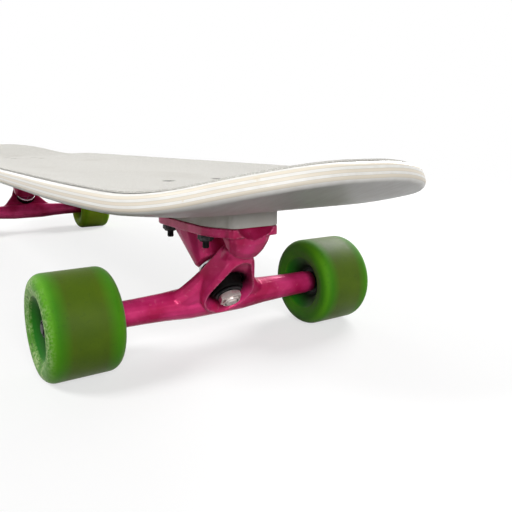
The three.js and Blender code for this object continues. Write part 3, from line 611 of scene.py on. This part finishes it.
def lockNut(across, low, high, bore):
    # hexagon with both ends turned to a chamfer, and a round collar that holds the nylon
    top = high - (high - low) * lock["collar"]
    flat = across * lock["flat"]
    corner = across / math.sqrt(3)
    chamfer = (corner - flat) * lock["chamfer"]
    turned = turnedShape([
        (0, low), (flat, low), (corner + lock["clear"], low + chamfer),
        (corner + lock["clear"], top - chamfer), (flat, top), (0, top),
    ], lock["steps"], closed=False)
    bored = turnedShape([(0, low - 1), (bore, low - 1), (bore, top + 1), (0, top + 1)], 32, closed=False)
    # the blank reaches past both turned ends, since a cut can fail where two faces share a plane
    nut = combineShapes(hexShape(across, low - 1, top + 1), [turned], "INTERSECT")
    nut = combineShapes(nut, [bored], "DIFFERENCE")
    rim = turnedShape([
        (bore + lock["wall"], top - lock["lap"]), (across * lock["foot"], top - lock["lap"]),
        (across * lock["shoulder"], high - lock["crimp"]), (across * lock["lip"], high),
        (across * lock["mouth"], high), (across * lock["mouth"], top + lock["clear"]),
    ], lock["steps"])
    roundEdges(rim, lock["collarRound"], 2)
    addShape(nut, rim)
    ring = turnedShape([
        (bore + lock["nylonGrip"], top + lock["nylonFoot"]),
        (across * lock["nylon"], top + lock["nylonFoot"]),
        (across * lock["nylon"], high - lock["nylonTop"]), (bore + lock["clear"], high - lock["crimp"]),
    ], lock["steps"])
    addShape(nut, ring, 1)
    return nut


# kingpin stack, pivot cup and axle

stack = dict(
    bore=4.98, bushingRound=1.1, washerRound=0.25, steps=72, hexagon=14.3, nutTurn=14,
    cupEdge=0.6, cupWall=1.0, cupFloor=1.5, coneSlope=0.9, coneRise=0.4,
)
bushings = {
    "boardside_bushing": dict(waist=0.8, fuller=0.0, taper=0.0),
    "roadside_bushing": dict(waist=0.5, fuller=0.7, taper=0.8),
}
kingpin = dict(
    radius=4.76, shankEnd=2.0, threadStart=2.6, thread=0.55, pitch=1.06, tip=3.6, tipLength=0.9,
    headHeight=6.0, headFlat=6.6, headReach=8.4, headChamfer=1.0, steps=48,
)
pivotCup = dict(wall=1.5, edge=0.2, steps=48)
axleRod = dict(
    radius=4.0, tip=3.3, tipLength=0.8, threadLength=13.0, runOut=13.6, thread=0.45, pitch=1.25, steps=40,
)


def makeBushings(end, steer, pin):
    for name, look in bushings.items():
        low, high = boxIn(steer, end + "_" + name)
        wide = high.x + look["fuller"]
        tip = wide - look["taper"]
        waist = ((wide + tip) / 2 - look["waist"], (low.z + high.z) / 2)
        shape = turnedShape([
            (stack["bore"], low.z), (wide, low.z), waist, (tip, high.z), (stack["bore"], high.z),
        ], stack["steps"])
        roundEdges(shape, stack["bushingRound"])
        bushing = makePiece(shape, end + "_" + name, [blackUrethane], pin, rides=False)
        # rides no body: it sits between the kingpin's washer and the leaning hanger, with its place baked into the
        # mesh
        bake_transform(bushing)


def makeWashers(end, steer, pin):
    bore = stack["bore"]
    low, high = boxIn(steer, end + "_cup_washer")
    inner, floor = high.x - stack["cupWall"], low.z + stack["cupFloor"]
    turnedPiece(end + "_cup_washer", [
        (bore, low.z), (high.x - stack["cupEdge"], low.z), (high.x, low.z + stack["cupEdge"]),
        (high.x, high.z), (inner, high.z), (inner, floor), (bore, floor),
    ], pin, brightSteel, stack["washerRound"], stack["steps"])
    low, high = boxIn(steer, end + "_cone_washer")
    turnedPiece(end + "_cone_washer", [
        (bore, low.z), (high.x - stack["coneSlope"], low.z), (high.x, low.z + stack["coneRise"]),
        (high.x, high.z), (bore, high.z),
    ], pin, blackOxide, stack["washerRound"], stack["steps"])


def makeKingpin(end, steer, pin):
    low, high = boxIn(steer, end + "_kingpin_nut")
    nut = lockNut(stack["hexagon"], low.z, high.z, stack["bore"])
    turn = Matrix.Rotation(math.radians(stack["nutTurn"]), 3, "Z")
    bmesh.ops.rotate(nut, cent=(0, 0, 0), matrix=turn, verts=nut.verts)
    makePiece(nut, end + "_kingpin_nut", [zincSteel, lockNylon], pin)

    low, high = boxIn(steer, end + "_kingpin")
    radius, flat, reach = kingpin["radius"], kingpin["headFlat"], kingpin["headReach"]
    headBottom = low.z + kingpin["headHeight"]
    ridges = threadProfile(radius, kingpin["threadStart"], high.z - kingpin["tipLength"],
                           kingpin["pitch"], kingpin["thread"])
    shank = turnedShape([
        (0, headBottom), (radius, headBottom), (radius, kingpin["shankEnd"]), *ridges,
        (kingpin["tip"], high.z), (0, high.z),
    ], kingpin["steps"], closed=False)
    turned = turnedShape([
        (0, low.z), (flat, low.z), (reach, low.z + kingpin["headChamfer"]), (reach, headBottom),
        (0, headBottom),
    ], kingpin["steps"], closed=False)
    blank = hexShape(stack["hexagon"], low.z - 1, headBottom + 1)
    addShape(shank, combineShapes(blank, [turned], "INTERSECT"))
    makePiece(shank, end + "_kingpin", [zincSteel], pin)


def makePivotCup(end, steer):
    low, high = boxIn(steer, end + "_pivot_cup")
    drop = (low.z + high.z) / 2
    cup = steer @ Matrix.Translation((0, 0, drop * mm)) @ Matrix.Rotation(-math.pi / 2, 4, "X")
    outer, inner = high.x, high.x - pivotCup["wall"]
    turnedPiece(end + "_pivot_cup", [
        (inner, low.y), (outer, low.y), (outer, high.y - pivotCup["wall"]), (inner, high.y), (0, high.y),
        *arc(0, high.y - outer, inner, 90, 0, 6),
    ], cup, blackUrethane, pivotCup["edge"], pivotCup["steps"])


def makeAxle(end):
    low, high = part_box(end + "_axle")
    half = (high.x - low.x) / mm / 2
    radius, tip, smooth = axleRod["radius"], axleRod["tip"], half - axleRod["runOut"]
    ridges = threadProfile(radius, half - axleRod["threadLength"], half - axleRod["tipLength"],
                           axleRod["pitch"], axleRod["thread"])
    axle = turnedShape([
        (0, -half), (tip, -half), *[(ridge, -along) for ridge, along in reversed(ridges)],
        (radius, -smooth), (radius, smooth), *ridges, (tip, half), (0, half),
    ], axleRod["steps"], closed=False)
    makePiece(axle, end + "_axle", [blackOxide], truckPlace(end) @ Matrix.Rotation(math.pi / 2, 4, "Y"))


for end in ("front", "rear"):
    steer = steerPlace(end)
    pinLow, pinHigh = boxIn(steer, end + "_kingpin")
    pin = steer @ Matrix.Translation((0, (pinLow.y + pinHigh.y) / 2 * mm, 0))
    makeBushings(end, steer, pin)
    makeWashers(end, steer, pin)
    makeKingpin(end, steer, pin)
    makePivotCup(end, steer)
    makeAxle(end)
print("kingpin stacks made")


# wheels and what turns in them

# cone holds steps of the hub's slope, as distance out from the throat and depth below the face
wheel = dict(
    lip=7.6, lipEnd=1.2, mouth=21.2, mouthDepth=1.3, mouthRound=1.2, mouthLip=0.6, mouthWidth=2.4,
    cone=((1.4, 8.8), (4.0, 5.4)), throat=13.0, throatRound=0.5, hubDepth=12.0, seat=11.25, core=8.6,
    bearing=7.15, steps=112,
)
bearing = dict(
    wall=0.9, groove=1.1, grooveDepth=0.5, ringRound=0.22, steps=64, sealBore=6.3, sealLip=7.4,
    sealEdge=1.15, sealBevel=1.5, sealDepth=0.35, lipDepth=0.55, edgeDepth=0.6, sealRound=0.08,
)
spacer = dict(bore=4.25, race=6.0, raceLength=7.0, tube=5.2, sleeveRound=0.15, washerRound=0.12, steps=48)
axleNut = dict(hexagon=12.6)


def wheelProfile(radius, half):
    lip, mouth, throat = wheel["lip"], wheel["mouth"], wheel["throat"]
    hubFloor = half - wheel["hubDepth"]
    shoulder = hubFloor - wheel["bearing"]
    mouthTop = half - wheel["mouthDepth"] - wheel["mouthRound"]
    outer = [
        (wheel["core"], shoulder), (wheel["seat"], shoulder), (wheel["seat"], hubFloor),
        (throat - wheel["throatRound"], hubFloor), (throat, hubFloor + wheel["throatRound"]),
    ]
    outer += [(throat + out, half - depth) for out, depth in wheel["cone"]]
    outer += arc(mouth + wheel["mouthLip"], mouthTop, wheel["mouthRound"], 150, 78, 5)
    outer += [(mouth + wheel["mouthWidth"], half - wheel["mouthLip"])]
    outer += arc(radius - lip, half - lip, lip, 96, 6, 13)
    outer += [(radius, half - lip - wheel["lipEnd"]), (radius, (half - lip) / 2)]
    return [(out, -height) for out, height in outer] + outer[::-1]


def makeWheel(node, place, material):
    low, high = boxIn(place, node)
    radius = (high.x - low.x) / 2
    half = (high.z - low.z) / 2
    shape = turnedShape(wheelProfile(radius, half), wheel["steps"])
    piece = makePiece(shape, node, [material], place)
    back = place.inverted()

    def reachAt(point):
        local = back @ point / mm
        return math.hypot(local.x, local.y) / radius

    storeAttribute(piece, "reach", reachAt)
    storeAttribute(piece, "across", lambda point: abs((back @ point).z / mm) / half)
    storeAttribute(piece, "outboard", lambda point: 1.0 if (back @ point).z > 0 else 0.0)


def makeBearing(node, place):
    low, high = boxIn(place, node)
    bottom, top, rim = low.z, high.z, high.x
    inner, groove, deep = rim - bearing["wall"], rim - bearing["groove"], bearing["grooveDepth"]
    ring = turnedShape([
        (inner, bottom), (rim, bottom), (rim, top), (inner, top), (inner, top - deep),
        (groove, top - deep), (groove, bottom + deep), (inner, bottom + deep),
    ], bearing["steps"])
    roundEdges(ring, bearing["ringRound"])
    seal = turnedShape(bothFaces(bottom, top, [
        (bearing["sealBore"], bearing["lipDepth"]), (bearing["sealLip"], bearing["sealDepth"]),
        (rim - bearing["sealBevel"], bearing["sealDepth"]), (rim - bearing["sealEdge"], bearing["edgeDepth"]),
    ]), bearing["steps"])
    roundEdges(seal, bearing["sealRound"], segments=2, minAngle=15)
    addShape(ring, seal, 1)
    makePiece(ring, node, [blackOxide, sealRubber], place)


def hubPieces(end, hand):
    place = wheelPlace(end, hand)
    prefix = end + "_" + hand + "_"
    makeWheel(prefix + "wheel", place, greenUrethane if end == "front" else limeUrethane)
    for name in ("inner_bearing", "outer_bearing"):
        makeBearing(prefix + name, place)
    bore, race, tube = spacer["bore"], spacer["race"], spacer["tube"]
    low, high = boxIn(place, prefix + "bearing_sleeve")
    sleeve = bothFaces(low.z, high.z, [
        (bore, 0), (race, 0), (race, spacer["raceLength"]), (tube, spacer["raceLength"]),
    ])
    turnedPiece(prefix + "bearing_sleeve", sleeve, place, brightSteel, spacer["sleeveRound"], spacer["steps"])
    for name in ("inner_washer", "outer_washer"):
        low, high = boxIn(place, prefix + name)
        washer = bothFaces(low.z, high.z, [(bore, 0), (high.x, 0)])
        turnedPiece(prefix + name, washer, place, brightSteel, spacer["washerRound"], spacer["steps"])
    low, high = boxIn(place, prefix + "axle_nut")
    nut = lockNut(axleNut["hexagon"], low.z, high.z, bore)
    makePiece(nut, prefix + "axle_nut", [blackOxide, lockNylon], place)


for end in ("front", "rear"):
    for hand in ("right", "left"):
        hubPieces(end, hand)
print("wheels made")


# deck and grip sheet, shaped from one flat grid

deck = dict(
    thickness=11.0, kickStart=66.0, kickRadius=150.0, kickAngle=math.radians(21), noseTaper=168.0,
    fullness=2.35, straight=0.42, lastTurn=math.radians(85), flatHalfWidth=42.0, concaveRise=7.0,
    railRound=3.6, railShare=0.4, railCuts=14, railEdge=0.12, columns=36, rows=168,
)
grip = dict(inset=3.0, lift=0.3, thickness=0.9, hole=5.4)
boltHole = dict(shank=2.75, head=4.9, headDepth=2.6, depth=30.0, flush=0.2, above=6.0)
deckLow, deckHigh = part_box("deck")
deckHalfWidth = (deckHigh.x - deckLow.x) / 2 / mm
deckHalfLength = (deckHigh.y - deckLow.y) / 2 / mm - deck["thickness"] / 2 * math.sin(deck["kickAngle"])
axleHalf = (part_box("rear_axle")[0].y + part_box("rear_axle")[1].y) / 2 / mm
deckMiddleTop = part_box("grip_sheet")[0].z / mm - grip["lift"]


def endStation(share):
    # distance along the board and half width, for a share from 0 amidships to 1 at the tip
    taperStart = deckHalfLength - deck["noseTaper"]
    straight = deck["straight"]
    if share < straight:
        return taperStart * share / straight, deckHalfWidth
    power = 2 / deck["fullness"]
    turn = deck["lastTurn"] * (share - straight) / (1 - straight)
    along = (math.sin(turn) / math.sin(deck["lastTurn"])) ** power
    return taperStart + deck["noseTaper"] * along, deckHalfWidth * math.cos(turn) ** power


def kickAt(along):
    # rise and slope, past the bolts towards either end
    run = abs(along) - (axleHalf + deck["kickStart"])
    bend = deck["kickRadius"] * math.sin(deck["kickAngle"])
    if run <= 0:
        return 0.0, 0.0
    if run < bend:
        slope = math.asin(run / deck["kickRadius"])
        return deck["kickRadius"] * (1 - math.cos(slope)), slope
    rise = deck["kickRadius"] * (1 - math.cos(deck["kickAngle"]))
    return rise + (run - bend) * math.tan(deck["kickAngle"]), deck["kickAngle"]


def concaveShare(across):
    # 0 over the flat middle, 1 at the rail
    return max(0.0, abs(across) - deck["flatHalfWidth"]) / (deckHalfWidth - deck["flatHalfWidth"])


def topHeight(across, along):
    return deckMiddleTop + kickAt(along)[0] + deck["concaveRise"] * concaveShare(across) ** 2


def railAt(share):
    # inset and depth on the rounded rail, for a share from 0 on the top face to 1 on the bottom
    near = min(share, 1 - share)
    turn = math.pi / 2 * min(1.0, near / deck["railShare"])
    depth = deck["railRound"] * (1 - math.cos(turn))
    if near > deck["railShare"]:
        wall = deck["thickness"] / 2 - deck["railRound"]
        depth += wall * (near - deck["railShare"]) / (0.5 - deck["railShare"])
    return deck["railRound"] * (1 - math.sin(turn)), depth if share < 0.5 else deck["thickness"] - depth


def flatBoard(inset, thickness):
    # top face at zero
    shape = bmesh.new()
    bmesh.ops.create_grid(shape, x_segments=deck["columns"], y_segments=deck["rows"], size=1)
    for vertex in shape.verts:
        along, halfWidth = endStation(abs(vertex.co.y))
        along = math.copysign(along, vertex.co.y) * (1 - inset / deckHalfLength)
        vertex.co = (vertex.co.x * (halfWidth - inset), along, 0)
    bmesh.ops.solidify(shape, geom=shape.faces[:], thickness=thickness)
    return shape


def roundRails(shape):
    wall = [edge for edge in shape.edges
            if abs(edge.verts[0].co.z - edge.verts[1].co.z) > deck["thickness"] / 2]
    bmesh.ops.subdivide_edges(shape, edges=wall, cuts=deck["railCuts"], use_grid_fill=True)
    for vertex in shape.verts:
        inset, depth = railAt(-vertex.co.z / deck["thickness"])
        across = vertex.co.x * (1 - inset / deckHalfWidth)
        vertex.co = (across, vertex.co.y * (1 - inset / deckHalfLength), -depth)


def bendBoard(shape, lift):
    # carries each point along the normal of the kicked and concave top
    for vertex in shape.verts:
        across, along, height = vertex.co
        side = 2 * deck["concaveRise"] * concaveShare(across) / (deckHalfWidth - deck["flatHalfWidth"])
        climb = math.tan(kickAt(along)[1])
        normal = Vector((-math.copysign(side, across), -math.copysign(climb, along), 1)).normalized()
        vertex.co = Vector((across, along, topHeight(across, along))) + normal * (height + lift)
    bmesh.ops.recalc_face_normals(shape, faces=shape.faces)


def cutBoltHoles(shape, shankRadius, headRadius):
    cutters = []
    top = deckMiddleTop
    for node in boltNodes:
        low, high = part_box(node)
        x, y = (low.x + high.x) / 2 / mm, (low.y + high.y) / 2 / mm
        cutter = turnedShape([
            (0, top - boltHole["depth"]), (shankRadius, top - boltHole["depth"]),
            (shankRadius, top - boltHole["headDepth"]), (headRadius, top + boltHole["flush"]),
            (headRadius, top + boltHole["above"]), (0, top + boltHole["above"]),
        ], 32, closed=False)
        bmesh.ops.translate(cutter, vec=(x, y, 0), verts=cutter.verts)
        cutters.append(cutter)
    return combineShapes(shape, cutters, "DIFFERENCE")


def makeDeck():
    shape = flatBoard(0, deck["thickness"])
    roundRails(shape)
    bendBoard(shape, 0)
    shape = cutBoltHoles(shape, boltHole["shank"], boltHole["head"])
    piece = makePiece(shape, "deck", [whiteLacquer], Matrix(), name="deckBoard")

    def depthAt(point):
        slope = kickAt(point.y / mm)[1]
        below = (topHeight(point.x / mm, point.y / mm) - point.z / mm) * math.cos(slope)
        return held(below / deck["thickness"])

    def railHere(point):
        return 1.0 if deck["railEdge"] < depthAt(point) < 1 - deck["railEdge"] else 0.0

    storeAttribute(piece, "plyDepth", depthAt)
    storeAttribute(piece, "rail", railHere)


def makeGrip():
    shape = flatBoard(grip["inset"], grip["thickness"])
    bendBoard(shape, grip["lift"] + grip["thickness"])
    shape = cutBoltHoles(shape, grip["hole"], grip["hole"])
    makePiece(shape, "grip_sheet", [clearGrit], Matrix())


boltNodes = [node for node in nodeBody if node.endswith("_bolt")]
makeDeck()
makeGrip()
print("deck made")


# deck bolts with their lock nuts

bolt = dict(
    shank=2.4, tip=1.9, tipLength=0.4, thread=0.3, pitch=0.8, threadPast=2.0, shankPast=2.4, plate=6.6,
    head=4.8, headDepth=2.8, headEdge=0.4, headTop=0.1, headRound=0.25, socket=3.2, socketDepth=2.0,
    nut=9.6, nutHeight=4.6, nutPlay=0.05, steps=32,
)


def makeBolt(node):
    low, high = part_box(node)
    bottom, top = low.z / mm, high.z / mm
    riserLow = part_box(node.split("_")[0] + "_riser_pad")[0]
    nutTop = riserLow.z / mm - bolt["plate"]
    ridges = threadProfile(bolt["shank"], bottom + bolt["tipLength"], nutTop + bolt["threadPast"],
                           bolt["pitch"], bolt["thread"])
    shank = turnedShape([
        (0, bottom), (bolt["tip"], bottom), *ridges, (bolt["shank"], nutTop + bolt["shankPast"]),
        (bolt["shank"], top - bolt["headDepth"]), (bolt["head"], top - bolt["headEdge"]),
        (bolt["head"], top - bolt["headTop"]), (bolt["head"] - bolt["headRound"], top), (0, top),
    ], bolt["steps"], closed=False)
    shank = combineShapes(shank, [hexShape(bolt["socket"], top - bolt["socketDepth"], top + 1)], "DIFFERENCE")
    nut = lockNut(bolt["nut"], -nutTop, -nutTop + bolt["nutHeight"], bolt["shank"] + bolt["nutPlay"])
    bmesh.ops.rotate(nut, cent=(0, 0, 0), matrix=Matrix.Rotation(math.pi, 3, "X"), verts=nut.verts)
    addShape(shank, nut)
    x, y = (low.x + high.x) / 2, (low.y + high.y) / 2
    makePiece(shank, node, [blackOxide, lockNylon], Matrix.Translation((x, y, 0)))


for node in boltNodes:
    makeBolt(node)
print("bolts made:", len(boltNodes))


# floor, light and camera

studio = dict(
    floorSize=16.0, floorGap=0.0002, floorColour=srgb(250, 250, 250), floorBounce=srgb(80, 79, 78),
    floorLift=0.6, floorRoughness=0.9, floorSpecular=0.1, fade=(0.35, 1.6), worldStrength=0.14,
    lens=39.03, sensor=36.0, cameraOffset=(-0.195662, -0.344124, 0.114866), cameraTurn=0.594,
    cameraDip=0.208,
)
lamps = dict(
    leftLamp=dict(place=(-1.5, 0.1, 1.6), target=(0, -0.3, 0.06), size=0.8, power=30),
    rightLamp=dict(place=(1.65, 0.35, 1.15), target=(0, -0.3, 0.06), size=1.1, power=42),
    frontLamp=dict(place=(-0.5, -2.1, 0.8), target=(0, -0.3, 0.06), size=0.9, power=30),
    backLamp=dict(place=(0.3, 2.1, 0.9), target=(0, 0.3, 0.06), size=1.4, power=10),
)


def seenRays(tree):
    # the kinds of ray, and those that are seen straight or mirrored in a shiny surface
    path = tree.nodes.new("ShaderNodeLightPath").outputs
    return path, combine(tree, "MAXIMUM", path["Is Camera Ray"], path["Is Glossy Ray"])


def makeFloor():
    shape = bmesh.new()
    bmesh.ops.create_grid(shape, x_segments=1, y_segments=1, size=studio["floorSize"] / 2)
    floor = looseObject(shape, "floor")
    floor.location.z = cadBox[0].z - studio["floorGap"]
    look = {"specular": studio["floorSpecular"]}
    material, tree, shader, coords = startMaterial("floorPaper", look)
    shader.inputs["Roughness"].default_value = studio["floorRoughness"]
    distance = addNode(tree, "ShaderNodeVectorMath", {"operation": "LENGTH"}, Vector=coords)
    far = mapRange(tree, distance.outputs["Value"], *studio["fade"])
    path, seen = seenRays(tree)
    paper = blendColours(tree, seen, studio["floorBounce"], studio["floorColour"])
    tree.links.new(paper, shader.inputs["Base Color"])
    glow = addNode(tree, "ShaderNodeEmission", Color=(1, 1, 1, 1), Strength=1.0)
    near = multiply(tree, path["Is Camera Ray"], studio["floorLift"])
    lift = combine(tree, "MAXIMUM", near, multiply(tree, far, seen))
    blend = addNode(tree, "ShaderNodeMixShader", Fac=lift)
    feed(tree, blend, {1: shader.outputs[0], 2: glow.outputs[0]})
    tree.links.new(blend.outputs[0], tree.nodes["Material Output"].inputs[0])
    floor.data.materials.append(material)


def makeWorld():
    world = bpy.data.worlds.new("studioWorld")
    bpy.context.scene.world = world
    world.use_nodes = True
    tree = world.node_tree
    path, seen = seenRays(tree)
    seen = combine(tree, "MAXIMUM", seen, path["Is Transmission Ray"])
    strength = mapRange(tree, seen, 0, 1, studio["worldStrength"], 1.0)
    tree.links.new(strength, tree.nodes["Background"].inputs["Strength"])
    tree.nodes["Background"].inputs["Color"].default_value = (1, 1, 1, 1)


def makeLamp(name, place, target, size, power):
    lamp = bpy.data.lights.new(name, "AREA")
    lamp.shape = "DISK"
    lamp.size = size
    lamp.energy = power
    made = bpy.data.objects.new(name, lamp)
    bpy.context.scene.collection.objects.link(made)
    made.location = place
    made.rotation_mode = "QUATERNION"
    made.rotation_quaternion = (Vector(target) - Vector(place)).to_track_quat("-Z", "Y")


def makeCamera():
    low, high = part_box("front_axle")
    dip, turn = studio["cameraDip"], studio["cameraTurn"]
    ahead = Vector((math.sin(turn) * math.cos(dip), math.cos(turn) * math.cos(dip), -math.sin(dip)))
    lens = bpy.data.cameras.new("camera")
    lens.lens = studio["lens"]
    lens.sensor_width = studio["sensor"]
    lens.clip_start = 0.01
    made = bpy.data.objects.new("camera", lens)
    bpy.context.scene.collection.objects.link(made)
    made.location = (low + high) / 2 + Vector(studio["cameraOffset"])
    made.rotation_mode = "QUATERNION"
    made.rotation_quaternion = ahead.to_track_quat("-Z", "Y")
    bpy.context.scene.camera = made


makeFloor()
makeWorld()
for name, lamp in lamps.items():
    makeLamp(name, **lamp)
makeCamera()
bpy.context.scene.view_settings.view_transform = "Standard"
print("studio made")
